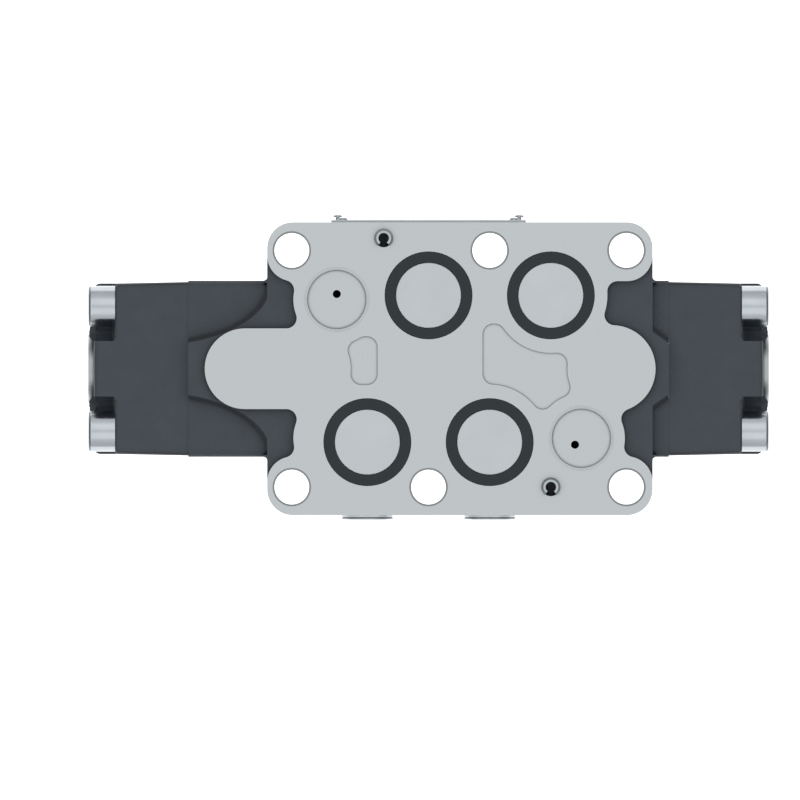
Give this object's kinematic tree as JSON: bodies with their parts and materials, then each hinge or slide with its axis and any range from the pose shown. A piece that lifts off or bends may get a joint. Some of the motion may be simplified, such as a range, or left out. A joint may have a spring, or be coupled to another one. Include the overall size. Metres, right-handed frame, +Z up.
{
  "type": "pilot operated directional valve",
  "caption": "Flange mounted hydraulic spool valve with a cast body, end covers and a smaller solenoid valve on top that shifts its centred main spool.",
  "frame": {"origin": "centre of the corner screw pattern on the mounting face", "axes": "+Z up from the mounting face to the pilot valve, +X along the spools to the end with the pilot drain port, +Y to the side of the gauge plugs, away from the nameplate"},
  "size_m": [0.265, 0.1186, 0.155],
  "materials": {
    "cast_body": "painted dark grey, machined bright on the mounting face",
    "machined_steel": "ground",
    "screw_steel": "zinc plated",
    "pin_steel": "plain",
    "spring_steel": "oiled",
    "washer_metal": "plain",
    "label_metal": "satin, bare",
    "seal_rubber": "matte",
    "plug_plastic": "light grey",
    "coil_plastic": "moulded, black",
    "nut_plastic": "moulded, black",
    "contact_metal": "tin plated"
  },
  "bodies": {
    "valve": {"armature_tube_left": "machined_steel", "armature_tube_right": "machined_steel", "centring_spring_left": "spring_steel", "centring_spring_right": "spring_steel", "coil_left": "coil_plastic", "coil_nut_left": "nut_plastic", "coil_nut_right": "nut_plastic", "coil_right": "coil_plastic", "coil_seal_left": "seal_rubber", "coil_seal_right": "seal_rubber", "cover_screws_left": "screw_steel", "cover_screws_right": "screw_steel", "cover_seal_left": "seal_rubber", "cover_seal_right": "seal_rubber", "end_cover_left": "cast_body", "end_cover_right": "cast_body", "gauge_plug_left": "screw_steel", "gauge_plug_right": "screw_steel", "gauge_washer_left": "washer_metal", "gauge_washer_right": "washer_metal", "housing": "cast_body", "locating_pin_front": "pin_steel", "locating_pin_rear": "pin_steel", "nameplate": "label_metal", "nameplate_rivets": "pin_steel", "pilot_body": "cast_body", "pilot_screws": "screw_steel", "pilot_seals": "seal_rubber", "pilot_spring_left": "spring_steel", "pilot_spring_right": "spring_steel", "port_plug_a": "plug_plastic", "port_plug_b": "plug_plastic", "port_plug_p": "plug_plastic", "port_plug_t": "plug_plastic", "port_seal_a": "seal_rubber", "port_seal_b": "seal_rubber", "port_seal_p": "seal_rubber", "port_seal_t": "seal_rubber", "terminals_left": "contact_metal", "terminals_right": "contact_metal", "tube_seal_left": "seal_rubber", "tube_seal_right": "seal_rubber"},
    "main_spool": {"main_spool": "machined_steel", "spring_plate_left": "machined_steel", "spring_plate_right": "machined_steel"},
    "pilot_shuttle": {"pilot_spool": "machined_steel", "pilot_spring_seat_left": "machined_steel", "armature_left": "machined_steel", "push_rod_left": "machined_steel", "pilot_spring_seat_right": "machined_steel", "armature_right": "machined_steel", "push_rod_right": "machined_steel"},
    "override_left": {"override_pin_left": "machined_steel"},
    "override_right": {"override_pin_right": "machined_steel"}
  },
  "joints": [
    {"name": "main_spool_slide", "type": "slide", "parent": "valve", "child": "main_spool", "axis": [1, 0, 0], "range_m": [-0.01, 0.01], "stiffness_N_per_m": 6000, "deforming": ["centring_spring_left", "centring_spring_right"]},
    {"name": "pilot_spool_slide", "type": "slide", "parent": "valve", "child": "pilot_shuttle", "axis": [1, 0, 0], "range_m": [-0.003, 0.003], "stiffness_N_per_m": 4000, "deforming": ["pilot_spring_left", "pilot_spring_right"]},
    {"name": "override_left_push", "type": "slide", "parent": "valve", "child": "override_left", "axis": [1, 0, 0], "range_m": [0, 0.0025], "stiffness_N_per_m": 200},
    {"name": "override_right_push", "type": "slide", "parent": "valve", "child": "override_right", "axis": [-1, 0, 0], "range_m": [0, 0.0025], "stiffness_N_per_m": 200}
  ]
}
